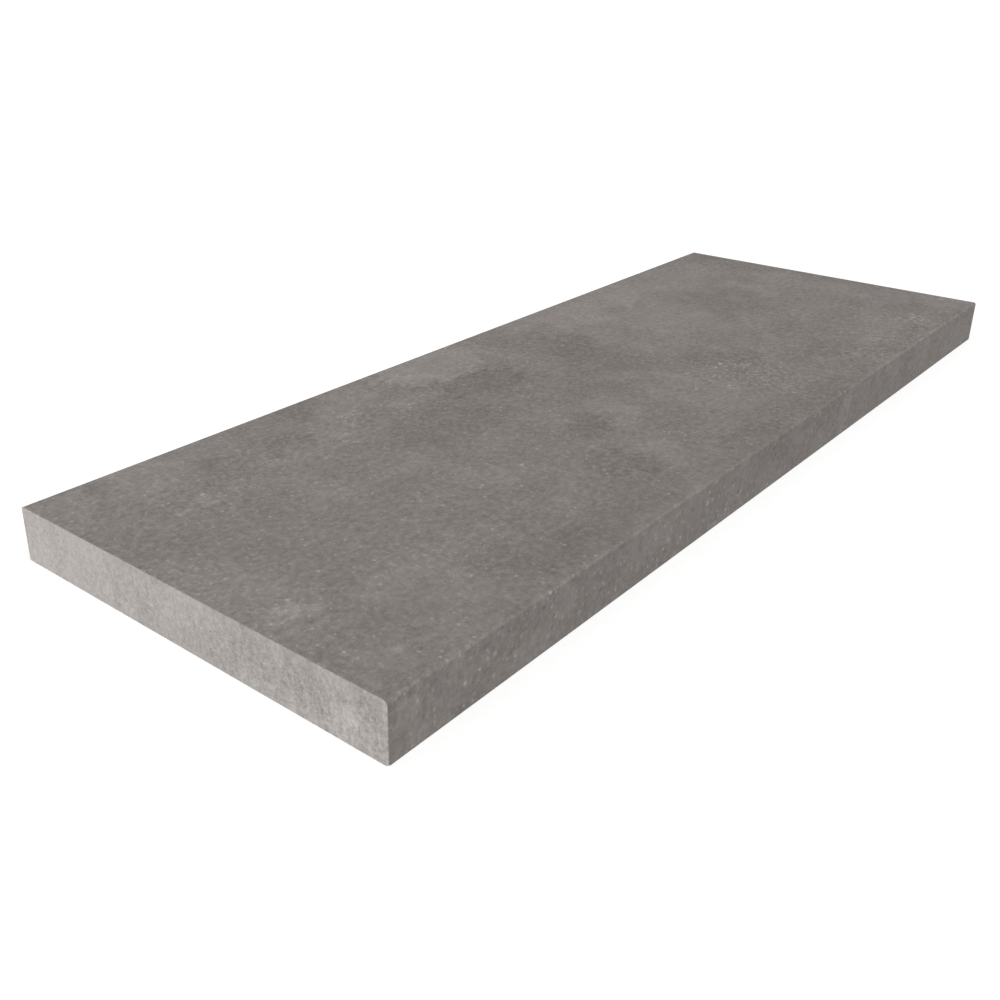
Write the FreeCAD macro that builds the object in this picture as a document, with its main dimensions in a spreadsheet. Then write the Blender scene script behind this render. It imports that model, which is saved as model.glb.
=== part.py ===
import FreeCAD, Part
import Sketcher

import math
import os

# A stair nosing tile: one slab of fired porcelain, solid all the way through, laid as the tread and
# the edge of a step. Its nose is straight and as deep as the slab is thick. The nose's top edge is
# rounded over, and every other arris is ground to a fine bevel.
#
# The origin is the centre of the bed, the face that lies in the mortar. X runs along the step, Y from
# the nose (-Y) to the back edge (+Y), and Z up to the walked face. All lengths are in millimetres.

NODE = "nosing_tile"

SHEET = "Sizes"

# Each driving size: its name, its value, and what it measures.
DRIVING_SIZES = [
    ("tile_length", 900.0, "along the step, from end face to end face"),
    ("tread_depth", 330.0, "from the front face of the nose to the back edge"),
    ("tile_thickness", 40.0, "from the bed to the walked face, which is also the height of the nose"),
    ("nose_radius", 2.0, "rounding of the nose's top edge"),
    ("arris_bevel", 0.5, "leg of the 45 degree bevel along every other arris"),
]

# Two faces that turn by less than this where they meet run on smoothly and leave no arris, in degrees.
SMOOTH_TURN = 1.0

# Largest share of the volume by which the finished solid may differ from its worked-out volume. The
# difference is the bevels' overlap in the corners, and a missing rounding or bevel is well past it.
VOLUME_TOLERANCE = 1e-5


def add_sheet(doc):
    """Writes each driving size to its own row: its name, its value and what it measures."""
    sheet = doc.addObject("Spreadsheet::Sheet", SHEET)
    for row, (name, value, meaning) in enumerate(DRIVING_SIZES, start=1):
        sheet.set(f"A{row}", name)
        sheet.set(f"B{row}", str(value))
        sheet.set(f"C{row}", meaning)
        sheet.setAlias(f"B{row}", name)
    doc.recompute()
    return sheet


def origin_plane(body, role):
    """The origin plane of the body that has this role."""
    return next(plane for plane in body.Origin.OriginFeatures if plane.Role == role)


def add_cross_section(body, sheet):
    """Sketches the slab's cross-section: a rectangle that stands on the bed, centred front to back."""
    sketch = body.newObject("Sketcher::SketchObject", "CrossSection")
    sketch.AttachmentSupport = [(origin_plane(body, "YZ_Plane"), "")]
    sketch.MapMode = "FlatFace"

    nose_face = -sheet.tread_depth / 2
    back_edge = sheet.tread_depth / 2
    walked_face = sheet.tile_thickness
    front_bottom = FreeCAD.Vector(nose_face, 0, 0)
    back_bottom = FreeCAD.Vector(back_edge, 0, 0)
    back_top = FreeCAD.Vector(back_edge, walked_face, 0)
    front_top = FreeCAD.Vector(nose_face, walked_face, 0)
    bed = sketch.addGeometry(Part.LineSegment(front_bottom, back_bottom), False)
    back = sketch.addGeometry(Part.LineSegment(back_bottom, back_top), False)
    top = sketch.addGeometry(Part.LineSegment(back_top, front_top), False)
    front = sketch.addGeometry(Part.LineSegment(front_top, front_bottom), False)

    # A point of a line is its start (1) or its end (2). The sketch's own origin is point 1 of line -1.
    start, end = 1, 2
    origin = (-1, 1)
    for line, following in ((bed, back), (back, top), (top, front), (front, bed)):
        sketch.addConstraint(Sketcher.Constraint("Coincident", line, end, following, start))
    for line in (bed, top):
        sketch.addConstraint(Sketcher.Constraint("Horizontal", line))
    for line in (back, front):
        sketch.addConstraint(Sketcher.Constraint("Vertical", line))
    sketch.addConstraint(Sketcher.Constraint("Symmetric", bed, start, bed, end, *origin))

    for name, constraint in (
        ("tread_depth", Sketcher.Constraint("DistanceX", bed, start, bed, end, sheet.tread_depth)),
        ("tile_thickness", Sketcher.Constraint("DistanceY", back, start, back, end, sheet.tile_thickness)),
    ):
        index = sketch.addConstraint(constraint)
        sketch.renameConstraint(index, name)
        sketch.setExpression(f"Constraints.{name}", f"{SHEET}.{name}")
    return sketch


def add_slab(body, cross_section):
    """Carries the cross-section along the step, half the length to each side of the origin."""
    slab = body.newObject("PartDesign::Pad", "Slab")
    slab.Profile = (cross_section, [""])
    slab.SideType = "Symmetric"
    slab.setExpression("Length", f"{SHEET}.tile_length")
    return slab


def turn_at(shape, edge):
    """The angle in degrees by which the surface turns at the middle of an edge, from face to face."""
    middle = edge.valueAt((edge.FirstParameter + edge.LastParameter) / 2)
    normals = []
    for face in shape.ancestorsOfType(edge, Part.Face):
        u, v = face.Surface.parameter(middle)
        normals.append(face.normalAt(u, v))
    return math.degrees(normals[0].getAngle(normals[1]))


def edge_names(shape, wanted):
    """The names of the edges of a shape that the function wanted accepts."""
    return [f"Edge{n}" for n, edge in enumerate(shape.Edges, start=1) if wanted(edge)]


def add_nose_round(body, slab):
    """Rounds the nose's top edge, where the walked face turns down into the front face."""
    box = slab.Shape.BoundBox

    def is_nose_edge(edge):
        middle = edge.BoundBox.Center
        return math.isclose(middle.y, box.YMin) and math.isclose(middle.z, box.ZMax)

    nose_round = body.newObject("PartDesign::Fillet", "NoseRound")
    nose_round.Base = (slab, edge_names(slab.Shape, is_nose_edge))
    nose_round.setExpression("Radius", f"{SHEET}.nose_radius")
    return nose_round


def add_arris_bevel(body, nose_round):
    """Bevels every arris that is left, those that run round the ends of the nose too."""
    shape = nose_round.Shape
    arris_bevel = body.newObject("PartDesign::Chamfer", "ArrisBevel")
    arris_bevel.Base = (nose_round, edge_names(shape, lambda edge: turn_at(shape, edge) > SMOOTH_TURN))
    arris_bevel.setExpression("Size", f"{SHEET}.arris_bevel")
    return arris_bevel


def worked_out_volume(sheet):
    """The slab's volume less the nose's rounding and a bevel along every arris, in cubic millimetres."""
    length, depth, thickness = sheet.tile_length, sheet.tread_depth, sheet.tile_thickness
    corner_cut = (1 - math.pi / 4) * sheet.nose_radius**2
    end_outline = 2 * (depth + thickness) - (2 - math.pi / 2) * sheet.nose_radius
    long_arrises = 3
    bevelled = long_arrises * length + 2 * end_outline
    return length * (depth * thickness - corner_cut) - bevelled * sheet.arris_bevel**2 / 2


def check(doc, body, sheet):
    """Stops if an object of the document failed, or if the solid isn't whole or lacks a feature."""
    for thing in doc.Objects:
        failed = {"Invalid", "Error"} & set(thing.State)
        if failed:
            raise RuntimeError(f"{thing.Name} is {', '.join(sorted(failed))}")
    shape = body.Shape
    if shape.isNull() or not shape.isValid() or len(shape.Solids) != 1:
        raise RuntimeError(f"{body.Label} isn't one valid solid")
    difference = abs(shape.Volume - worked_out_volume(sheet))
    if difference > VOLUME_TOLERANCE * shape.Volume:
        raise RuntimeError(f"{body.Label} differs from its worked-out volume by {difference:.1f} mm3")


def main():
    doc = FreeCAD.newDocument("StairNosingTile")
    sheet = add_sheet(doc)

    body = doc.addObject("PartDesign::Body", "NosingTile")
    body.Label = NODE
    body.Placement = FreeCAD.Placement()
    slab = add_slab(body, add_cross_section(body, sheet))
    doc.recompute()
    nose_round = add_nose_round(body, slab)
    doc.recompute()
    body.Tip = add_arris_bevel(body, nose_round)
    doc.recompute()
    check(doc, body, sheet)

    os.makedirs("parts", exist_ok=True)
    body.Shape.exportStep(f"parts/{body.Label}.step")
    box = body.Shape.BoundBox
    print(f"{body.Label}: {box.XLength:.1f} x {box.YLength:.1f} x {box.ZLength:.1f} mm")
    print(f"volume {body.Shape.Volume:.0f} mm3, worked out {worked_out_volume(sheet):.0f} mm3")


main()
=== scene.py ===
"""The finished look of a stair nosing tile: one slab of matt porcelain with a concrete-look print.

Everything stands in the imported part's frame, in metres. X runs along the step from the left end to the
right end, -Y points out of the front face of the nose, and Z points up out of the walked face. The origin
is the centre of the bed.
"""

import logging
import math
from dataclasses import dataclass
from enum import Enum

import bpy
import numpy as np
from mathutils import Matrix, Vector

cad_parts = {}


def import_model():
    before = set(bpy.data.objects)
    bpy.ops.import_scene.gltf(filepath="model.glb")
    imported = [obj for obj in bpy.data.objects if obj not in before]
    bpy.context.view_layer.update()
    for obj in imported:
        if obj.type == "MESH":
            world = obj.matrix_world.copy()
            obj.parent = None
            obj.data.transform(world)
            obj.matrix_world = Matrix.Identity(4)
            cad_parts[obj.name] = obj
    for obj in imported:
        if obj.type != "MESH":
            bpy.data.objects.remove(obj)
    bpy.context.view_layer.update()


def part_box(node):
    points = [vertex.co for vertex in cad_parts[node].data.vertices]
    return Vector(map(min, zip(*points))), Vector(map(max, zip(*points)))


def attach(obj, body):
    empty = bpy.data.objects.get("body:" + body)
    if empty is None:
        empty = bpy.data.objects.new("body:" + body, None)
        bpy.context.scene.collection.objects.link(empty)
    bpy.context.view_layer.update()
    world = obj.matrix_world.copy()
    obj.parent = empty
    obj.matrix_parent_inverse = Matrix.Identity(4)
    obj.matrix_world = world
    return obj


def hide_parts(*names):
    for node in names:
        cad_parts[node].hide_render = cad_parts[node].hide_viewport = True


log = logging.getLogger("nosing_tile")

Place = tuple[float, float, float]
"""X, Y and Z of a point in the part's frame."""

NODE = "nosing_tile"
BODY = "root"

MM = 0.001

FRONT_BOTTOM_ARC = 0
NOSE_ARC = 3
"""Places of two of the section's four arcs in its list."""


class Finish(Enum):
    """The finish of a stretch of the surface. The value is its place in the mesh's list of materials."""

    PRINTED = 0
    BARE = 1


@dataclass(frozen=True)
class Tone:
    """A colour as a screen shows it, each part from 0 to 255."""

    red: float
    green: float
    blue: float

    def linear(self) -> tuple[float, float, float, float]:
        """The colour as light adds up, by the sRGB curve, each part from 0 to 1, with full cover."""
        shown = np.array([self.red, self.green, self.blue]) / 255
        light = np.where(shown <= 0.04045, shown / 12.92, ((shown + 0.055) / 1.055) ** 2.4)
        return (*(float(part) for part in light), 1.0)

    def step(self) -> tuple[float, ...]:
        """How much light one more step of 255 adds to each part."""
        lighter = Tone(self.red + 1, self.green + 1, self.blue + 1)
        return tuple(after - before for before, after in zip(self.linear()[:3], lighter.linear()))


class SoftNoise:
    """Soft random heights from -1 to 1 that fill a box in space."""

    def __init__(self, low: np.ndarray, high: np.ndarray, cell: float, seed: int) -> None:
        """Draws the lattice of random numbers.

        Args:
            low: Lowest corner of the box.
            high: Highest corner of the box.
            cell: Distance between neighbours of the lattice.
            seed: Starts the random draw.
        """
        self.start = low - cell
        self.cell = cell
        cells = np.ceil((high - self.start) / cell).astype(int)
        self.lattice = np.random.default_rng(seed).uniform(-1, 1, cells + 2)

    def at(self, points: np.ndarray) -> np.ndarray:
        """The height at each point.

        A point takes the mean of its cell's eight corners. Along each axis a corner weighs 3t^2 - 2t^3 or
        the rest of one, where t is the point's place between the two ends of the cell.

        Args:
            points: One row of three coordinates for each point.

        Returns:
            One height for each point.
        """
        place = (points - self.start) / self.cell
        first = np.floor(place).astype(int)
        t = place - first
        weight = t * t * (3 - 2 * t)
        total = np.zeros(len(points))
        for corner in np.ndindex(2, 2, 2):
            i, j, k = (first + corner).T
            total += np.where(corner, weight, 1 - weight).prod(axis=1) * self.lattice[i, j, k]
        return total


@dataclass(frozen=True)
class Section:
    """The slab's outline across its length, a closed loop seen from the right end.

    The loop starts at the middle of the front bottom arris and runs along the bed to the back edge, up it,
    forward along the walked face, round the nose and down the front face.
    """

    points: np.ndarray
    """Y and Z of each point."""
    normals: np.ndarray
    """Y and Z of the outward direction at each point."""
    flat: np.ndarray
    """1 where the face is flat and may carry relief, falling to 0 at the arrises."""
    finishes: np.ndarray
    """The finish of the stretch from each point to the next, as the place of its material."""
    arcs: np.ndarray
    """Number of the arc that each point belongs to, and -1 on the straight sides."""
    pulls: np.ndarray
    """Y and Z by which each point moves for each metre that its arc's radius grows."""


@dataclass(frozen=True)
class Stretch:
    """A stretch of the slab's surface, as arrays."""

    places: np.ndarray
    """Place of each vertex that it adds."""
    facing: np.ndarray
    """Outward direction at each of these."""
    flat: np.ndarray
    """How much of the relief each of these takes, from 0 to 1."""
    faces: np.ndarray
    """Four vertex numbers for each face, anticlockwise as seen from outside."""
    finishes: np.ndarray
    """Place of each face's material."""


@dataclass(frozen=True)
class DulledCorner:
    """A corner at the left end that handling has rounded a little more than the rest of its arris."""

    arc: int
    """Number of the section's arc that it widens."""
    growth: float
    """How much larger the arc's radius is at the end face."""
    reach: float
    """How far along the slab the arc takes to come back to its own radius."""


@dataclass(frozen=True)
class Slab:
    """The porcelain slab: a closed surface of the section carried along X, with a cap on each end."""

    length: float
    depth: float
    thickness: float
    nose_radius: float = 2.0 * MM
    arris_radius: float = 0.6 * MM
    end_radius: float = 0.35 * MM
    """Less than the arris radius, so that the corners of the end faces keep a fine rounding."""
    print_margin: float = 0.9 * MM
    """How far from the end faces the print stops, where the cut edge is ground."""
    corner_margin: float = 2.0 * MM
    """How far from the end faces the evenly spaced places along X begin."""
    steps_along: int = 300
    steps_deep: int = 108
    steps_high: int = 14
    steps_round: int = 6
    """Even, so that an arc has a middle point, where the sides of the end caps meet."""
    relief_fade: float = 9.0 * MM
    """How far from an arris the relief takes to reach its full height."""
    swell: float = 0.035 * MM
    swell_cell: float = 42.0 * MM
    dimple: float = 0.015 * MM
    dimple_cell: float = 11.0 * MM
    slope_reach: float = 0.55 * MM
    """How far to each side the relief is read to find its slope."""
    seed: int = 31
    dulled: tuple[DulledCorner, ...] = (
        DulledCorner(FRONT_BOTTOM_ARC, growth=1.9 * MM, reach=2.0 * MM),
        DulledCorner(NOSE_ARC, growth=1.9 * MM, reach=16.0 * MM),
    )

    def section(self) -> Section:
        """Works out the section: four arcs with straight sides between them.

        A point of an arc is the arc's centre plus the radius times the outward direction, which turns
        evenly by a right angle. A point of a side lies evenly between the ends of its two arcs. Where an
        arc's radius grows, its point moves by that growth times its own outward direction less the
        directions at both ends of the arc.

        Returns:
            The section, whose points run anticlockwise as seen from the right end.
        """
        front, back, radius = -self.depth / 2, self.depth / 2, self.arris_radius
        corners = (
            (front + radius, radius, radius),
            (back - radius, radius, radius),
            (back - radius, self.thickness - radius, radius),
            (front + self.nose_radius, self.thickness - self.nose_radius, self.nose_radius),
        )
        arcs, directions = [], []
        for number, (y, z, size) in enumerate(corners):
            turn = np.radians(np.linspace(180, 270, self.steps_round + 1) + 90 * number)
            direction = np.column_stack([np.cos(turn), np.sin(turn)])
            arcs.append(np.array([y, z]) + size * direction)
            directions.append(direction)

        points, normals, flat, finishes, arc_numbers, pulls = [], [], [], [], [], []
        side_steps = (self.steps_deep, self.steps_high, self.steps_deep, self.steps_high)
        arc_finishes = (Finish.BARE, Finish.BARE, Finish.BARE, Finish.PRINTED)
        side_finishes = (Finish.BARE, Finish.BARE, Finish.PRINTED, Finish.PRINTED)
        for number in range(4):
            arc, following = arcs[number], arcs[(number + 1) % 4]
            share = np.linspace(0, 1, side_steps[number] + 1)[1:-1]
            side = arc[-1] + share[:, None] * (following[0] - arc[-1])
            span = np.linalg.norm(following[0] - arc[-1])
            from_arris = np.minimum(share, 1 - share) * span
            points += [arc, side]
            normals += [directions[number], np.tile(directions[number][-1], (len(side), 1))]
            flat += [np.zeros(len(arc)), eased(from_arris / self.relief_fade)]
            finishes += [np.full(len(arc) - 1, arc_finishes[number].value)]
            finishes += [np.full(len(side) + 1, side_finishes[number].value)]
            arc_numbers += [np.full(len(arc), number), np.full(len(side), -1)]
            outward = directions[number]
            pulls += [outward - outward[0] - outward[-1], np.zeros((len(side), 2))]
        start = self.steps_round // 2
        parts = (points, normals, flat, finishes, arc_numbers, pulls)
        return Section(*(np.roll(np.concatenate(part), -start, axis=0) for part in parts))

    def stations(self) -> tuple[np.ndarray, np.ndarray, np.ndarray]:
        """Works out the places along X at which the section stands.

        Each end is a quarter circle from the end face to the full section: at the angle a the place lies
        the radius times 1 - cos a inside the end, and the section is smaller all round by the radius times
        1 - sin a. The next place inside is the edge of the print, and evenly spaced places follow.

        Returns:
            X of each place, how much smaller the section is there, and the angle by which the surface
            leans towards the end face, from -90 degrees at the left end to 90 at the right, in radians.
        """
        turn = np.radians(np.linspace(0, 90, self.steps_round + 1))
        inside = self.end_radius * (1 - np.cos(turn))
        smaller = self.end_radius * (1 - np.sin(turn))
        left_end, right_start = -self.length / 2 + inside, self.length / 2 - inside[::-1]
        print_end = self.length / 2 - self.print_margin
        even_end = self.length / 2 - self.corner_margin
        evenly = np.linspace(-even_end, even_end, self.steps_along + 1)
        between = np.concatenate([[-print_end], evenly, [print_end]])
        level = np.zeros(len(between))
        x = np.concatenate([left_end, between, right_start])
        inset = np.concatenate([smaller, level, smaller[::-1]])
        lean = np.concatenate([turn - math.pi / 2, level, math.pi / 2 - turn[::-1]])
        return x, inset, lean

    def growth(self, x: np.ndarray, section: Section) -> np.ndarray:
        """How much larger the radius of each point's arc is at each place along X.

        A dulled corner adds its growth at the left end, and less and less of it, by an eased curve, up to
        its reach.

        Args:
            x: The places along X.
            section: The section.

        Returns:
            The growth, by place and by point of the section.
        """
        total = np.zeros((len(x), len(section.points)))
        for corner in self.dulled:
            left = 1 - eased((x + self.length / 2) / corner.reach)
            total += corner.growth * left[:, None] * (section.arcs == corner.arc)[None]
        return total

    def cap_grid(self, ring: np.ndarray, first_new: int) -> tuple[np.ndarray, np.ndarray]:
        """Fills an end ring with a grid of points.

        The ring has four sides, which meet at the middles of its arcs. A point of the grid is the mean of
        its two points on the bed's and the walked face's sides, by height, plus that of its two points on
        the front's and the back's sides, by depth, less the mean of the four corners by both.

        Args:
            ring: Y and Z of the ring's points, in the section's order.
            first_new: Number of the first vertex that the grid adds.

        Returns:
            Y and Z of the points inside the ring, and the vertex numbers of the whole grid, by depth and
            height, with the ring's own points as 0, 1, 2 and so on.
        """
        across, up = self.steps_deep + self.steps_round, self.steps_high + self.steps_round
        numbers = np.arange(len(ring))
        bed = numbers[: across + 1]
        back = numbers[across : across + up + 1]
        top = numbers[across + up : 2 * across + up + 1][::-1]
        front = np.append(numbers[2 * across + up :], 0)[::-1]
        y, z = ring[bed, 0], ring[back, 1]
        u = ((y - y[0]) / (y[-1] - y[0]))[1:-1, None, None]
        v = ((z - z[0]) / (z[-1] - z[0]))[None, 1:-1, None]
        along = (1 - v) * ring[bed][1:-1, None] + v * ring[top][1:-1, None]
        upright = (1 - u) * ring[front][None, 1:-1] + u * ring[back][None, 1:-1]
        corners = (1 - u) * ((1 - v) * ring[bed[0]] + v * ring[top[0]]) + u * (
            (1 - v) * ring[bed[-1]] + v * ring[top[-1]]
        )
        inner = along + upright - corners

        grid = np.empty((across + 1, up + 1), int)
        grid[:, 0], grid[:, -1] = bed, top
        grid[0, :], grid[-1, :] = front, back
        grid[1:-1, 1:-1] = first_new + np.arange((across - 1) * (up - 1)).reshape(across - 1, up - 1)
        return inner.reshape(-1, 2), grid

    def relief(
        self, points: np.ndarray, normals: np.ndarray, flat: np.ndarray
    ) -> tuple[np.ndarray, np.ndarray]:
        """Sinks the flat faces by a hair, as pressed and fired porcelain is never dead flat.

        The depth is the sum of two noises, a wide swell and small dimples. The surface then turns by the
        slope of that depth.

        Args:
            points: Place of each vertex.
            normals: Outward direction at each vertex.
            flat: How much of the relief each vertex takes, from 0 to 1.

        Returns:
            The new places and the new outward directions.
        """
        low, high = points.min(axis=0), points.max(axis=0)
        layers = (
            (self.swell, SoftNoise(low, high, self.swell_cell, self.seed)),
            (self.dimple, SoftNoise(low, high, self.dimple_cell, self.seed + 1)),
        )

        def depth(places: np.ndarray) -> np.ndarray:
            """The depth below the plain surface at each place."""
            return sum(height * (1 + noise.at(places)) / 2 for height, noise in layers)

        reach = self.slope_reach
        slope = np.column_stack([
            (depth(points + reach * axis) - depth(points - reach * axis)) / (2 * reach) for axis in np.eye(3)
        ])
        turned = normals + flat[:, None] * slope
        turned /= np.linalg.norm(turned, axis=1, keepdims=True)
        return points - (flat * depth(points))[:, None] * normals, turned

    def sides(self, section: Section) -> tuple[Stretch, np.ndarray]:
        """Works out the long faces: the section at each place along X, joined to the next.

        Args:
            section: The section.

        Returns:
            The stretch of surface, and the numbers of its vertices by place and by point.
        """
        x, inset, lean = self.stations()
        rows, around = len(x), len(section.points)
        rings = section.points[None] - inset[:, None, None] * section.normals[None]
        rings += self.growth(x, section)[:, :, None] * section.pulls[None]
        places = np.dstack([np.broadcast_to(x[:, None], (rows, around)), rings]).reshape(-1, 3)
        facing = np.dstack([
            np.broadcast_to(np.sin(lean)[:, None], (rows, around)),
            np.cos(lean)[:, None, None] * section.normals[None],
        ]).reshape(-1, 3)
        from_end = self.length / 2 - np.abs(x)
        flat = (eased(from_end / self.relief_fade)[:, None] * section.flat[None]).ravel()

        number = np.arange(rows * around).reshape(rows, around)
        following = np.roll(number, -1, axis=1)
        faces = np.stack([number[:-1], following[:-1], following[1:], number[1:]], axis=-1).reshape(-1, 4)
        middle = np.abs(x[:-1] + x[1:]) / 2
        ground = middle > self.length / 2 - self.print_margin
        finishes = np.where(ground[:, None], Finish.BARE.value, section.finishes[None]).ravel()
        return Stretch(places, facing, flat, faces, finishes), number

    def cap(self, ring: np.ndarray, numbers: np.ndarray, outward: float, first_new: int) -> Stretch:
        """Closes one end with a grid of faces.

        Args:
            ring: Places of the end ring's vertices.
            numbers: Their numbers.
            outward: X of the direction that the end faces, -1 or 1.
            first_new: Number of the first vertex that the cap adds.

        Returns:
            The stretch of surface, without the ring's own vertices.
        """
        inner, grid = self.cap_grid(ring[:, 1:], first_new)
        ring_part = grid < first_new
        grid = np.where(ring_part, numbers[grid * ring_part], grid)
        if outward > 0:
            corners = (grid[:-1, :-1], grid[1:, :-1], grid[1:, 1:], grid[:-1, 1:])
        else:
            corners = (grid[:-1, :-1], grid[:-1, 1:], grid[1:, 1:], grid[1:, :-1])
        faces = np.stack(corners, axis=-1).reshape(-1, 4)
        from_arris = np.minimum(
            self.depth / 2 - np.abs(inner[:, 0]), np.minimum(inner[:, 1], self.thickness - inner[:, 1])
        )
        places = np.column_stack([np.full(len(inner), ring[0, 0]), inner])
        facing = np.tile([outward, 0.0, 0.0], (len(inner), 1))
        finishes = np.full(len(faces), Finish.BARE.value)
        return Stretch(places, facing, eased(from_arris / self.relief_fade), faces, finishes)

    def build(self) -> bpy.types.Object:
        """Builds the slab's mesh, with an outward direction of its own at each vertex.

        Returns:
            The slab's object, at the origin.
        """
        sides, numbers = self.sides(self.section())
        stretches = [sides]
        for row, outward in ((0, -1.0), (-1, 1.0)):
            first_new = sum(len(stretch.places) for stretch in stretches)
            ring = sides.places[numbers[row]]
            stretches.append(self.cap(ring, numbers[row], outward, first_new))

        places, facing = self.relief(
            np.concatenate([stretch.places for stretch in stretches]),
            np.concatenate([stretch.facing for stretch in stretches]),
            np.concatenate([stretch.flat for stretch in stretches]),
        )
        faces = np.concatenate([stretch.faces for stretch in stretches])
        finishes = np.concatenate([stretch.finishes for stretch in stretches])
        return new_mesh(f"{NODE}_slab", places, faces, facing, finishes)


def eased(share: np.ndarray) -> np.ndarray:
    """3t^2 - 2t^3 of a share held between 0 and 1, which starts and ends level."""
    held = np.clip(share, 0, 1)
    return held * held * (3 - 2 * held)


def new_mesh(
    name: str, places: np.ndarray, faces: np.ndarray, facing: np.ndarray, finishes: np.ndarray
) -> bpy.types.Object:
    """Puts worked-out arrays into a mesh object of the scene.

    Args:
        name: Name of the object and its mesh.
        places: Place of each vertex.
        faces: Four vertex numbers for each face, anticlockwise as seen from outside.
        facing: Outward direction at each vertex.
        finishes: Place of each face's material.

    Returns:
        The object, at the origin.
    """
    mesh = bpy.data.meshes.new(name)
    mesh.from_pydata(places, [], faces.tolist())
    mesh.polygons.foreach_set("use_smooth", np.ones(len(faces), bool))
    mesh.polygons.foreach_set("material_index", finishes.astype(np.int32))
    mesh.update()
    mesh.normals_split_custom_set_from_vertices(facing)
    piece = bpy.data.objects.new(name, mesh)
    bpy.context.scene.collection.objects.link(piece)
    return piece


class Field:
    """A number or a vector worked out at every point of a surface: one output of a node."""

    def __init__(self, graph: "Graph", socket: bpy.types.NodeSocket) -> None:
        """Keeps the output and the graph that it belongs to."""
        self.graph = graph
        self.socket = socket

    def __add__(self, other: "Field | float") -> "Field":
        """The sum, point by point."""
        return self.graph.math("ADD", self, other)

    def __mul__(self, other: "Field | float") -> "Field":
        """The product, point by point."""
        return self.graph.math("MULTIPLY", self, other)


@dataclass(frozen=True)
class Patch:
    """A soft oval place of a finish, in millimetres from the back left corner of the walked face."""

    from_left: float
    from_back: float
    along: float
    """Half its length."""
    across: float
    """Half its width."""
    levels: float
    """How much lighter it is, in steps of 255, or by how much it raises another strength."""
    turn: float = 0.0
    """How far its length is turned from the length of the slab, in degrees."""
    blur: float = 0.5
    """Width of its uneven border, as a share of its half sizes."""
    deep: float = 36.0
    """Half its height."""
    below: float = 0.0
    """How far its middle lies below the walked face."""

    def centre(self, corner: Place) -> Place:
        """Its middle in the part's frame, given the back left corner of the walked face."""
        left, back, top = corner
        return (left + self.from_left * MM, back - self.from_back * MM, top - self.below * MM)

    def radii(self) -> tuple[float, float, float]:
        """Its half sizes."""
        return (self.along * MM, self.across * MM, self.deep * MM)


FULL_FRAYING = 0.2
"""The height in a patch above which the border noise acts in full."""
PATCH_START = 0.05
"""The height at which a patch begins to show."""
SPECK_CORE = 0.3
"""How far out a speck keeps its full strength, as a share of its radius."""
SPECK_CONTRAST = 1.3
"""Power that is taken of the specks' strengths, so that faint ones outnumber strong ones."""


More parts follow.
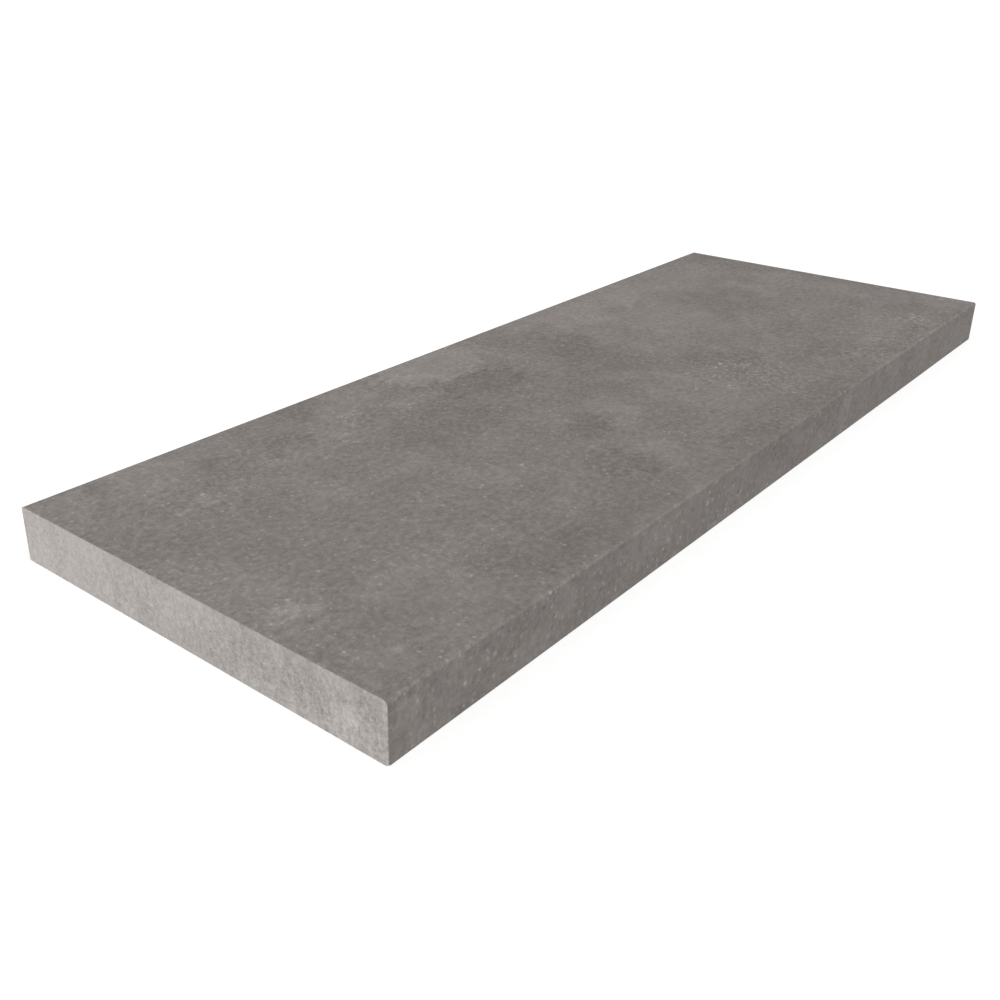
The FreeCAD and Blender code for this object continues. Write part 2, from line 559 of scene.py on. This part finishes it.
class Graph:
    """A node tree, with one short method for each kind of node that the finishes use."""

    def __init__(self, tree: bpy.types.NodeTree) -> None:
        """Starts with an empty tree."""
        self.tree = tree
        self.tree.nodes.clear()

    def node(self, kind: str, settings: dict[str, object] | None = None, **inputs: object) -> bpy.types.Node:
        """Adds a node.

        Args:
            kind: Blender's name for the node's type.
            settings: The node's own settings.
            **inputs: Its inputs by name, with underscores for spaces, as fields or plain values.

        Returns:
            The node.
        """
        made = self.tree.nodes.new(kind)
        for name, value in (settings or {}).items():
            setattr(made, name, value)
        for name, value in inputs.items():
            self.feed(made.inputs[name.replace("_", " ")], value)
        return made

    def feed(self, socket: bpy.types.NodeSocket, value: object) -> None:
        """Links a field to an input, or sets the input to a plain value."""
        if isinstance(value, Field):
            self.tree.links.new(value.socket, socket)
        else:
            socket.default_value = value

    def output(self, node: bpy.types.Node, name: str) -> Field:
        """One output of a node as a field."""
        return Field(self, node.outputs[name])

    def place(self) -> Field:
        """The place of each point in the part's frame, in metres."""
        return self.output(self.node("ShaderNodeTexCoord"), "Object")

    def math(self, operation: str, *values: Field | float) -> Field:
        """Plain arithmetic of one to three numbers."""
        made = self.node("ShaderNodeMath", {"operation": operation})
        for socket, value in zip(made.inputs, values):
            self.feed(socket, value)
        return self.output(made, "Value")

    def vector(self, operation: str, *values: Field | tuple[float, float, float]) -> Field:
        """Plain arithmetic of one to three vectors."""
        made = self.node("ShaderNodeVectorMath", {"operation": operation})
        for socket, value in zip(made.inputs, values):
            self.feed(socket, value)
        return self.output(made, "Vector")

    def part(self, place: Field, axis: str) -> Field:
        """One coordinate of a place: X, Y or Z."""
        return self.output(self.node("ShaderNodeSeparateXYZ", Vector=place), axis)

    def noise(self, place: Field, cell: float, octaves: int, keep: float = 1.0) -> Field:
        """Soft noise about zero, mostly from -1 to 1.

        Args:
            place: Where it is read.
            cell: Size of its largest lumps, in metres.
            octaves: How many layers it has, each half the size of the one before.
            keep: Strength of each layer as a share of the one before.

        Returns:
            The noise.
        """
        made = self.node(
            "ShaderNodeTexNoise", Vector=place, Scale=1 / cell, Detail=octaves - 1.0, Roughness=keep
        )
        return self.math("MULTIPLY_ADD", self.output(made, "Fac"), 2.0, -1.0)

    def warped(self, place: Field, cell: float, reach: float, octaves: int = 3) -> Field:
        """The place pushed about by soft noise, so that what is drawn there gets uneven edges.

        Args:
            place: The plain place.
            cell: Size of the noise's largest lumps, in metres.
            reach: How far the noise pushes, in metres.
            octaves: How many layers the noise has.

        Returns:
            The pushed place.
        """
        made = self.node("ShaderNodeTexNoise", Vector=place, Scale=1 / cell, Detail=octaves - 1.0)
        push = self.vector("SUBTRACT", self.output(made, "Color"), (0.5, 0.5, 0.5))
        return self.vector("MULTIPLY_ADD", push, (2 * reach, 2 * reach, 2 * reach), place)

    def rise(self, value: Field, low: float, high: float, top: float = 1.0) -> Field:
        """0 below low and top above high, with a smooth rise between them."""
        made = self.node(
            "ShaderNodeMapRange", {"interpolation_type": "SMOOTHSTEP", "clamp": False},
            Value=value, From_Min=low, From_Max=high, To_Max=top,
        )
        return self.output(made, "Result")

    def specks(self, place: Field, cell: float, radius: float, share: Field | float) -> Field:
        """Small spots of uneven size and strength, at most one in each cell of a random division of space.

        Args:
            place: Where they are read.
            cell: Size of a cell, in metres.
            radius: Size of the largest spots, in metres.
            share: The share of the cells that hold one, from 0 to 1.

        Returns:
            The spot's strength, from 0 to 1, at its middle, falling to 0 at its edge.
        """
        made = self.node("ShaderNodeTexVoronoi", {"feature": "F1"}, Vector=place, Scale=1 / cell)
        split = self.node("ShaderNodeSeparateColor", Color=self.output(made, "Color"))
        held = self.math("LESS_THAN", self.output(split, "Red"), share)
        largest = radius / cell
        size = self.math("MULTIPLY_ADD", self.output(split, "Green"), largest / 2, largest / 2)
        inside = self.math("DIVIDE", self.output(made, "Distance"), size)
        strength = self.math("POWER", self.output(split, "Blue"), SPECK_CONTRAST)
        return self.rise(inside, 1.0, SPECK_CORE) * held * strength

    def patches(self, place: Field, border: Field, patches: tuple[Patch, ...], corner: Place) -> Field:
        """The sum of soft oval patches.

        A patch's height falls evenly from 1 at its middle to 0 at its edge. The border noise is added to
        that, the less the nearer the height is to 0. The patch begins where the sum passes PATCH_START,
        and it is full where the sum is higher than that by its blur.

        Args:
            place: Where they are read.
            border: Noise that makes their borders uneven.
            patches: The patches.
            corner: The back left corner of the walked face, from which they are measured.

        Returns:
            The levels of all patches added up.
        """
        total = None
        for patch in patches:
            mapping = self.node(
                "ShaderNodeMapping", {"vector_type": "TEXTURE"}, Vector=place,
                Location=patch.centre(corner), Rotation=(0.0, 0.0, math.radians(patch.turn)),
                Scale=patch.radii(),
            )
            ball = self.node(
                "ShaderNodeTexGradient", {"gradient_type": "SPHERICAL"}, Vector=self.output(mapping, "Vector")
            )
            height = self.output(ball, "Fac")
            uneven = self.math("MULTIPLY_ADD", border, self.rise(height, 0.0, FULL_FRAYING), height)
            levels = self.rise(uneven, PATCH_START, PATCH_START + patch.blur, patch.levels)
            total = levels if total is None else total + levels
        return total

    def tinted(self, tone: Tone, levels: Field) -> Field:
        """A tone made lighter by a number of steps of 255, the same for red, green and blue."""
        return self.vector("MULTIPLY_ADD", levels, tone.step(), tone.linear()[:3])


def new_finish(name: str) -> tuple[bpy.types.Material, Graph]:
    """Makes a material and the graph of its empty node tree."""
    material = bpy.data.materials.new(name)
    material.use_nodes = True
    return material, Graph(material.node_tree)


# Lighter cloud patches of the print. A few entries are painted light instead, each marked below.
LIGHT_PATCHES = (
    Patch(388, 18, 80, 50, 12, 2, 0.25),
    Patch(346, 24, 34, 40, 3, 0, 0.3),
    Patch(10, 170, 280, 260, 3.5, 0, 0.9, 250),
    Patch(12, 18, 40, 40, 8),
    Patch(200, 78, 70, 32, 3, 0, 0.6),
    Patch(14, 246, 34, 36, 3.5),
    Patch(528, 14, 32, 28, 4.5),
    Patch(85, 28, 50, 52, 6),
    Patch(140, 16, 40, 30, 4),
    Patch(278, 30, 46, 34, 5, 10, 0.3),
    Patch(186, 86, 46, 14, 5, -14, 0.3),
    Patch(238, 62, 34, 12, 4, 35, 0.3),
    Patch(318, 66, 40, 18, 4, 10, 0.4),
    Patch(88, 85, 17, 13, 12.5, 0, 0.7),
    Patch(590, 24, 54, 58, 8, 0, 0.3),
    Patch(672, 24, 60, 54, 7, 0, 0.4),
    Patch(676, 26, 20, 20, 6),
    Patch(645, 108, 66, 62, 6, 0, 0.4),
    Patch(755, 40, 90, 54, 4),
    Patch(835, 44, 44, 40, 2.5),
    Patch(850, 132, 66, 30, 3.5, 0, 0.4),
    Patch(560, 116, 56, 46, 2.5),
    Patch(154, 118, 22, 70, 4, 6, 0.5),
    Patch(216, 132, 24, 40, 2.5, 30, 0.5),
    Patch(20, 190, 46, 56, 6, 0, 0.5),
    Patch(26, 236, 20, 11, 14, -25, 0.8),
    Patch(238, 206, 26, 26, 4),
    Patch(406, 198, 22, 30, 7, 0, 0.4),
    Patch(390, 226, 22, 16, 3.5),
    Patch(346, 178, 30, 24, 4),
    Patch(476, 168, 46, 16, 4, -45, 0.4),
    Patch(486, 236, 64, 52, 3),
    Patch(498, 256, 26, 22, 3.5),
    Patch(622, 232, 26, 30, 3.5),
    Patch(665, 186, 34, 16, 3, -40),
    Patch(862, 192, 36, 34, 4.5),
    Patch(84, 256, 60, 12, 4, 12),
    Patch(86, 302, 60, 30, 3),
    Patch(356, 280, 26, 40, 4.5, 0, 0.4),
    Patch(722, 284, 50, 34, 3),
    Patch(776, 292, 20, 18, 4),
    Patch(798, 308, 18, 14, 3, 0, 0.5),
    Patch(882, 302, 34, 34, 4),
    Patch(664, 296, 26, 18, 2.2),
    # Painted light: a broad band along the back edge of the walked face, up to three levels lighter, standing
    # in for the stronger light that falls there.
    Patch(200, 18, 270, 66, 3, 0, 0.9),
    Patch(30, 330, 60, 14, 4, 0, 0.5, 24, 20),
    Patch(110, 330, 40, 14, 7, 0, 0.5, 16, 30),
    Patch(240, 330, 44, 14, 7, 0, 0.5, 20, 12),
    Patch(565, 330, 20, 14, 7, 0, 0.5, 18, 14),
    Patch(12, 336, 28, 16, 8, 0, 0.6, 14, 11),
    # Painted light: lifts the whole front face, and the nose a little, by about one and a half levels,
    # standing in for more light on the front.
    Patch(450, 340, 900, 16, 1.6, 0, 0.4, 60, 20),
    Patch(270, 330, 26, 14, 5, 0, 0.6, 18, 10),
    Patch(575, 330, 34, 14, 7, 0, 0.6, 14, 6),
    Patch(745, 330, 30, 14, 5.5, 0, 0.6, 26, 16),
    Patch(840, 330, 40, 14, 3.5, 0, 0.6, 16, 22),
)

# Darker cloud patches of the print. A few entries are painted shade instead, each marked below.
DARK_PATCHES = (
    Patch(128, 38, 17, 13, -7),
    Patch(190, 56, 28, 18, -6, -10),
    Patch(240, 12, 32, 32, -9),
    Patch(212, 34, 24, 14, -3, 40),
    Patch(322, 22, 14, 30, -3),
    Patch(294, 122, 74, 42, -5, 0, 0.4),
    Patch(346, 52, 24, 24, -6),
    Patch(386, 86, 62, 28, -8, 0, 0.3),
    Patch(410, 132, 76, 50, -3),
    Patch(478, 44, 20, 36, -4.5),
    Patch(510, 46, 20, 20, -4.5),
    Patch(514, 84, 42, 34, -8, 0, 0.4),
    Patch(498, 132, 52, 52, -6, 0, 0.4),
    Patch(430, 174, 44, 26, -4),
    Patch(362, 212, 34, 24, -8, 30, 0.4),
    Patch(558, 200, 32, 20, -7, 0, 0.4),
    Patch(588, 226, 26, 28, -6, -40, 0.4),
    Patch(316, 268, 40, 42, -7, 0, 0.4),
    Patch(168, 296, 60, 40, -5),
    Patch(236, 318, 100, 30, -5),
    Patch(418, 244, 44, 34, -3),
    Patch(424, 318, 60, 30, -5),
    Patch(552, 320, 90, 28, -4),
    Patch(672, 270, 50, 36, -6),
    Patch(626, 256, 40, 26, -4),
    Patch(740, 124, 66, 60, -5),
    Patch(700, 222, 50, 36, -3.5),
    Patch(638, 212, 24, 34, -3.5),
    Patch(764, 178, 70, 30, -2.5),
    Patch(878, 56, 48, 70, -6),
    Patch(892, 150, 24, 60, -4),
    Patch(826, 112, 24, 24, -4),
    Patch(690, 150, 26, 24, -3),
    Patch(818, 242, 60, 34, -3.5),
    Patch(836, 290, 40, 26, -3.5),
    # Painted shade: a broad band along the nose on the walked face, about two and a half levels darker,
    # standing in for less light there.
    Patch(600, 316, 360, 44, -2.5, 0, 0.8),
    Patch(892, 165, 60, 210, -2, 0, 0.8, 60),
    Patch(322, 300, 26, 30, -3),
    Patch(490, 330, 50, 14, -5, 0, 0.5, 24, 20),
    Patch(640, 330, 40, 14, -4, 0, 0.5, 24, 22),
    Patch(750, 330, 60, 14, -3.5, 0, 0.5, 22, 20),
    # Painted shade: darkens the nose and the walked face beside it over the first few centimetres from the
    # left end, which dims the lamps' highlight on the nose there.
    Patch(8, 328, 30, 8, -3.5, 0, 0.6, 6, 0),
    Patch(76, 330, 18, 14, -5, 0, 0.6, 12, 17),
    Patch(196, 330, 18, 14, -6, 0, 0.6, 12, 32),
    Patch(345, 330, 24, 14, -4, 0, 0.6, 14, 20),
    Patch(580, 330, 44, 14, -6, 0, 0.6, 10, 36),
    Patch(705, 330, 16, 14, -4, 0, 0.6, 30, 18),
    # Painted shade: the walked face darker along the nose towards the right end, the same fall of light as
    # the band above.
    Patch(790, 314, 120, 24, -2.5, 0, 0.8),
    Patch(740, 6, 40, 22, -4),
    Patch(892, 12, 30, 26, -5),
    Patch(542, 238, 34, 34, -2),
    Patch(832, 320, 24, 18, -3, 0, 0.6),
)

GRAIN_PATCHES = (
    Patch(230, 66, 300, 36, 0.3, 0, 0.5),
    Patch(10, 180, 40, 140, 0.25),
    Patch(550, 244, 64, 56, 0.4),
    Patch(780, 250, 50, 40, 0.3),
    Patch(740, 312, 100, 34, 0.4),
    Patch(666, 300, 26, 26, 0.3),
    Patch(794, 302, 28, 24, 0.3),
    Patch(552, 280, 30, 26, 0.3),
    Patch(250, 318, 240, 36, -0.22),
    Patch(75, 275, 44, 34, -0.22),
    Patch(720, 104, 130, 76, -0.25),
    Patch(450, 334, 700, 20, -0.12, 0, 0.3, 34, 24),
)

FLECK_PATCHES = (
    Patch(92, 92, 42, 34, 0.8),
    Patch(22, 236, 26, 20, 0.5),
    Patch(140, 226, 90, 60, 0.12),
    Patch(312, 222, 60, 30, 0.2),
    Patch(342, 170, 24, 20, 0.3),
    Patch(542, 236, 64, 46, 0.7),
    Patch(546, 286, 36, 28, 0.8),
    Patch(504, 82, 30, 18, 0.3),
    Patch(258, 48, 26, 20, 0.35),
    Patch(664, 302, 34, 40, 1.0),
    Patch(728, 286, 34, 36, 0.6),
    Patch(790, 300, 36, 30, 1.0),
    Patch(786, 232, 30, 20, 0.3),
    Patch(770, 120, 280, 190, -0.2, 0, 0.8),
    Patch(650, 334, 330, 14, -0.2, 0, 0.5, 30, 24),
    Patch(180, 330, 34, 14, 0.4, 0, 0.5, 20, 10),
    Patch(342, 330, 28, 14, 0.6, 0, 0.5, 26, 18),
    Patch(200, 336, 280, 14, 0.2, 0, 0.3, 34, 22),
)


@dataclass(frozen=True)
class ConcretePrint:
    """The matt printed face: cement grey, with ragged cloud patches, fine grain and pale flecks, and a few
    broad patches of painted light and shade on the walked face, the nose and the front face.

    All strengths are in steps of 255 about the plain tone.
    """

    corner: Place
    """The back left corner of the walked face, from which the patches are measured."""
    front: float
    """Y of the front face."""
    tone: Tone = Tone(129.2, 123.9, 119.9)
    mottle: float = 14.0
    mottle_cell: float = 30 * MM
    grain: float = 41.0
    grain_cell: float = 5.0 * MM
    grain_keep: float = 0.88
    """Strength of each finer layer of the grain as a share of the one before."""
    glint: float = 0.7
    """How far the light side of the grain and the mottle outdoes the dark side."""
    push_cell: float = 40 * MM
    push: float = 12 * MM
    # How far the outlines of the cloud patches and of the painted light and shade wander.
    """How far the clouds' outlines wander."""
    border: float = 0.9
    border_cell: float = 16 * MM
    # Strength and size of the noise that frays the borders of the cloud patches and of the painted light and
    # shade.
    """Strength and size of the noise that frays the clouds' borders."""
    fleck: float = 52.0
    fleck_cell: float = 4.2 * MM
    fleck_radius: float = 1.9 * MM
    fleck_share: float = 0.3
    """Share of the cells that hold a fleck between the clusters."""
    chip: float = 68.0
    chip_cell: float = 6.5 * MM
    chip_radius: float = 2.9 * MM
    """Strength, spacing and size of the larger flecks, which lie in the clusters only."""
    pore: float = 25.0
    pore_cell: float = 5.5 * MM
    pore_radius: float = 2.3 * MM
    pore_share: float = 0.6
    """Strength, spacing and size of the small dark pores, and the share of the cells that hold one."""
    fray_cell: float = 3.0 * MM
    fray: float = 0.8 * MM
    """How far the outlines of the flecks, chips and pores wander."""
    front_calm: float = 0.22
    """How much weaker the flecks, chips and pores are on the front face, as a share."""
    calm_start: float = 2.0 * MM
    calm_full: float = 0.5 * MM
    """How far behind the front face they begin to weaken, and have weakened in full."""
    relief_share: float = 0.05
    """How much of the relief one level of the grain makes."""
    relief: float = 0.2 * MM
    relief_strength: float = 0.25
    roughness: float = 0.75
    sheen_spread: float = 0.06
    sheen_cell: float = 20 * MM
    gloss: float = 0.15

    def charts(self, graph: Graph, place: Field) -> tuple[Field, Field, Field]:
        """Works out what the patches say.

        Args:
            graph: The material's graph.
            place: Where they are read.

        Returns:
            The print's cloud patches together with the painted light and shade, in levels, how many more of
            the cells hold a fleck, and the strength of the grain, both as shares.
        """
        pushed = graph.warped(place, self.push_cell, self.push, 4)
        border = graph.noise(place, self.border_cell, 4, 0.8) * self.border
        # The print's cloud patches, with the few entries of painted light and shade that LIGHT_PATCHES and
        # DARK_PATCHES also hold.
        clouds_and_painted_light = graph.patches(pushed, border, LIGHT_PATCHES + DARK_PATCHES, self.corner)
        clusters = graph.patches(pushed, border, FLECK_PATCHES, self.corner)
        liveliness = graph.patches(pushed, border, GRAIN_PATCHES, self.corner) + 1.0
        return clouds_and_painted_light, clusters, liveliness

    def material(self) -> bpy.types.Material:
        """Builds the material."""
        material, graph = new_finish("matt_concrete_print")
        place = graph.place()
        clouds_and_painted_light, clusters, liveliness = self.charts(graph, place)
        mottle = graph.noise(place, self.mottle_cell, 3)
        mottle = mottle * (mottle * self.glint + 1.0) * self.mottle
        grain = graph.noise(place, self.grain_cell, 4, self.grain_keep)
        grain = grain * (grain * self.glint + 1.0) * self.grain * liveliness
        frayed = graph.warped(place, self.fray_cell, self.fray)
        share = clusters + self.fleck_share
        flecks = graph.specks(frayed, self.fleck_cell, self.fleck_radius, share) * self.fleck
        chips = graph.specks(frayed, self.chip_cell, self.chip_radius, clusters) * self.chip
        pores = graph.specks(frayed, self.pore_cell, self.pore_radius, self.pore_share) * -self.pore
        start, full = self.front + self.calm_start, self.front + self.calm_full
        calm = graph.rise(graph.part(place, "Y"), start, full, -self.front_calm) + 1.0
        # These levels include the painted light and shade among the cloud patches.
        levels = clouds_and_painted_light + mottle + grain + (flecks + chips + pores) * calm
        bump = graph.node(
            "ShaderNodeBump", Strength=self.relief_strength, Distance=self.relief,
            Height=grain * self.relief_share,
        )
        rough = graph.noise(place, self.sheen_cell, 3, 0.5) * self.sheen_spread + self.roughness
        shader = graph.node(
            "ShaderNodeBsdfPrincipled", Base_Color=graph.tinted(self.tone, levels),
            Roughness=rough, Specular_IOR_Level=self.gloss, Normal=graph.output(bump, "Normal"),
        )
        graph.node("ShaderNodeOutputMaterial", Surface=graph.output(shader, "BSDF"))
        return material


BODY_PATCHES = (
    Patch(0, 40, 120, 105, 9, 0, 0.7, 120),
    Patch(0, 18, 60, 22, 4, 0, 0.5, 14, 34),
    Patch(0, 162, 60, 46, 5, 0, 0.5, 20, 10),
    Patch(0, 238, 60, 40, -4, 0, 0.5, 20, 14),
    Patch(0, 260, 60, 20, -4, 0, 0.5, 14, 20),
    Patch(0, 298, 60, 16, 11, 0, 0.5, 18, 28),
    Patch(0, 318, 60, 14, -4, 0, 0.5, 12, 10),
    Patch(0, 106, 60, 18, -4, 0, 0.5, 10, 8),
)

BODY_GRAIN_PATCHES = (
    Patch(0, 330, 2000, 330, 0.2, 0, 0.9, 2000),
    Patch(0, 240, 2000, 300, -0.35, 0, 0.8, 16),
)


@dataclass(frozen=True)
class BareBody:
    """The unprinted body on the cut ends, the back edge and the bed: pale, granular grey.

    All strengths are in steps of 255 about the plain tone.
    """

    corner: Place
    """The back left corner of the walked face, from which the patches are measured."""
    tone: Tone = Tone(160.0, 154.8, 151.5)
    blotch: float = 24.0
    blotch_cell: float = 30 * MM
    upright: float = 1.6
    """How much taller than wide the blotches are."""
    plain_blotch: float = 0.6
    """Share of the blotches' strength that they have everywhere."""
    coarse: Patch = Patch(0, 330, 2000, 330, 0.75, 0, 0.9, 2000)
    """Where the blotches are stronger, towards the nose, and by how much."""
    border: float = 0.6
    border_cell: float = 12 * MM
    """Strength and size of the noise that frays the patches' borders."""
    grain: float = 46.0
    grain_cell: float = 3.6 * MM
    plain_grain: float = 0.83
    """Share of the grain's strength that it has where no patch changes it."""
    relief_share: float = 0.05
    """How much of the relief one level makes."""
    relief: float = 0.2 * MM
    relief_strength: float = 0.3
    roughness: float = 0.8
    gloss: float = 0.2

    def material(self) -> bpy.types.Material:
        """Builds the material."""
        material, graph = new_finish("bare_porcelain_body")
        place = graph.place()
        drawn_up = graph.vector("DIVIDE", place, (1.0, 1.0, self.upright))
        border = graph.noise(drawn_up, self.border_cell, 3) * self.border
        coarse = graph.patches(place, border, (self.coarse,), self.corner) + self.plain_blotch
        blotch = graph.noise(drawn_up, self.blotch_cell, 4) * self.blotch * coarse
        liveliness = graph.patches(place, border, BODY_GRAIN_PATCHES, self.corner) + self.plain_grain
        grain = graph.noise(place, self.grain_cell, 3) * self.grain * liveliness
        levels = blotch + grain + graph.patches(place, border, BODY_PATCHES, self.corner)
        bump = graph.node(
            "ShaderNodeBump", Strength=self.relief_strength, Distance=self.relief,
            Height=levels * self.relief_share,
        )
        shader = graph.node(
            "ShaderNodeBsdfPrincipled", Base_Color=graph.tinted(self.tone, levels),
            Roughness=self.roughness, Specular_IOR_Level=self.gloss, Normal=graph.output(bump, "Normal"),
        )
        graph.node("ShaderNodeOutputMaterial", Surface=graph.output(shader, "BSDF"))
        return material


@dataclass(frozen=True)
class PhotoCamera:
    """The camera that took the photograph, solved from the slab's corners."""

    place: tuple[float, float, float] = (-0.78019, -0.48250, 0.37745)
    azimuth: float = 49.747
    """Turn of the view from +Y towards +X, in degrees."""
    elevation: float = 24.702
    """Tilt of the view below the horizon, in degrees."""
    focal: float = 1133.37
    """Focal length, in pixels of the photograph."""
    axis_x: float = 445.54
    """Where the lens axis meets the picture, in pixels from its left edge."""
    axis_y: float = 467.29
    """The same, from its top edge."""
    picture: float = 1000.0
    """Side of the picture, in pixels."""
    sensor: float = 36.0
    """Side of the sensor, in millimetres."""
    nearest: float = 0.01
    farthest: float = 50.0
    """How near and how far the camera sees."""

    def build(self) -> None:
        """Makes the camera and hands it to the scene."""
        lens = bpy.data.cameras.new("photo_camera")
        lens.sensor_width = self.sensor
        lens.lens = self.focal / self.picture * self.sensor
        lens.shift_x = 0.5 - self.axis_x / self.picture
        lens.shift_y = self.axis_y / self.picture - 0.5
        lens.clip_start, lens.clip_end = self.nearest, self.farthest
        camera = bpy.data.objects.new("photo_camera", lens)
        camera.location = self.place
        camera.rotation_euler = (math.radians(90 - self.elevation), 0.0, math.radians(-self.azimuth))
        bpy.context.scene.collection.objects.link(camera)
        bpy.context.scene.camera = camera


@dataclass(frozen=True)
class Studio:
    """A pale floor, a white surround and soft lamps at a plain level."""

    floor_half: float = 12.0
    floor_paint: float = 0.8
    """Share of the light that the floor throws back."""
    floor_glow: float = 0.35
    """Light that the floor adds in the picture, so that it shows white out of the tile's shadow."""
    lamp_spread: float = 30.0
    """Width of each lamp as the tile sees it, in degrees."""
    lamp_away: float = 3.0
    key_from: tuple[float, float, float] = (-0.82, -0.37, 0.43)
    key_light: float = 0.9
    fill_from: tuple[float, float, float] = (0.0, -0.4, 0.92)
    fill_light: float = 0.07
    sky: float = 0.44
    lower_sky: float = 0.36
    horizon: float = 0.2
    """Height over which the lower sky turns into the sky, as a share of the way to the top."""

    def seen(self, graph: Graph) -> Field:
        """1 where the camera looks, straight, by a reflection or through glass, and 0 elsewhere."""
        path = graph.node("ShaderNodeLightPath")
        seen = graph.math("MAXIMUM", graph.output(path, "Is Camera Ray"), graph.output(path, "Is Glossy Ray"))
        return graph.math("MAXIMUM", seen, graph.output(path, "Is Transmission Ray"))

    def world(self) -> None:
        """Makes the surround: white where it is seen, and a plain grey light on the tile."""
        world = bpy.data.worlds.new("studio")
        world.use_nodes = True
        graph = Graph(world.node_tree)
        way = graph.node("ShaderNodeTexCoord")
        split = graph.node("ShaderNodeSeparateXYZ", Vector=graph.output(way, "Generated"))
        light = graph.node(
            "ShaderNodeMapRange", Value=graph.output(split, "Z"), From_Min=-self.horizon,
            From_Max=self.horizon, To_Min=self.lower_sky, To_Max=self.sky,
        )
        strength = graph.node(
            "ShaderNodeMix", {"data_type": "FLOAT"}, Factor=self.seen(graph), A=graph.output(light, "Result"),
            B=1.0,
        )
        background = graph.node(
            "ShaderNodeBackground", Color=(1.0, 1.0, 1.0, 1.0), Strength=graph.output(strength, "Result")
        )
        graph.node("ShaderNodeOutputWorld", Surface=graph.output(background, "Background"))
        bpy.context.scene.world = world

    def lamp(self, name: str, way: tuple[float, float, float], light: float) -> None:
        """Adds a soft lamp so far away that it lights every place alike.

        Args:
            name: Name of the lamp.
            way: Direction from the tile to the lamp.
            light: What a white sheet that faces the lamp shows of it, where 1 is white.
        """
        data = bpy.data.lights.new(name, "SUN")
        data.angle = math.radians(self.lamp_spread)
        data.energy = light * math.pi
        lamp = bpy.data.objects.new(name, data)
        to_lamp = Vector(way).normalized()
        lamp.location = to_lamp * self.lamp_away
        lamp.rotation_euler = to_lamp.to_track_quat("Z", "Y").to_euler()
        bpy.context.scene.collection.objects.link(lamp)

    def floor(self) -> None:
        """Makes the floor, which shows white, keeps the tile's shadow and is seen only from above."""
        half = self.floor_half
        corners = [(-half, -half, 0), (half, -half, 0), (half, half, 0), (-half, half, 0)]
        mesh = bpy.data.meshes.new("floor")
        mesh.from_pydata(corners, [], [(0, 1, 2, 3)])
        floor = bpy.data.objects.new("floor", mesh)
        floor.visible_diffuse = False
        floor.visible_shadow = False

        material, graph = new_finish("pale_floor")
        paint = graph.node("ShaderNodeBsdfDiffuse", Color=(*[self.floor_paint] * 3, 1.0))
        glow = graph.node("ShaderNodeEmission", Strength=self.seen(graph) * self.floor_glow)
        lit = graph.node("ShaderNodeAddShader")
        graph.feed(lit.inputs[0], graph.output(paint, "BSDF"))
        graph.feed(lit.inputs[1], graph.output(glow, "Emission"))
        from_below = graph.output(graph.node("ShaderNodeNewGeometry"), "Backfacing")
        mixed = graph.node("ShaderNodeMixShader", Fac=from_below)
        graph.feed(mixed.inputs[1], graph.output(lit, "Shader"))
        graph.feed(mixed.inputs[2], graph.output(graph.node("ShaderNodeBsdfTransparent"), "BSDF"))
        graph.node("ShaderNodeOutputMaterial", Surface=graph.output(mixed, "Shader"))
        mesh.materials.append(material)
        bpy.context.scene.collection.objects.link(floor)

    def build(self) -> None:
        """Sets up the surround, the lamps and the floor."""
        bpy.context.scene.view_settings.view_transform = "Standard"
        self.world()
        self.lamp("key", self.key_from, self.key_light)
        self.lamp("fill", self.fill_from, self.fill_light)
        self.floor()


def main() -> None:
    """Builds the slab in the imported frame, dresses it, and sets up the camera and the studio."""
    logging.basicConfig(level=logging.INFO, format="%(name)s: %(message)s")
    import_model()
    low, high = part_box(NODE)
    length, depth, thickness = high - low

    PhotoCamera().build()
    slab = Slab(length=length, depth=depth, thickness=thickness).build()
    corner = (float(low[0]), float(high[1]), float(high[2]))
    for finish in (ConcretePrint(corner, front=float(low[1])), BareBody(corner)):
        slab.data.materials.append(finish.material())
    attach(slab, BODY)
    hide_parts(NODE)
    log.info("slab: %d vertices, %d faces", len(slab.data.vertices), len(slab.data.polygons))
    Studio().build()


if __name__ == "__main__":
    main()
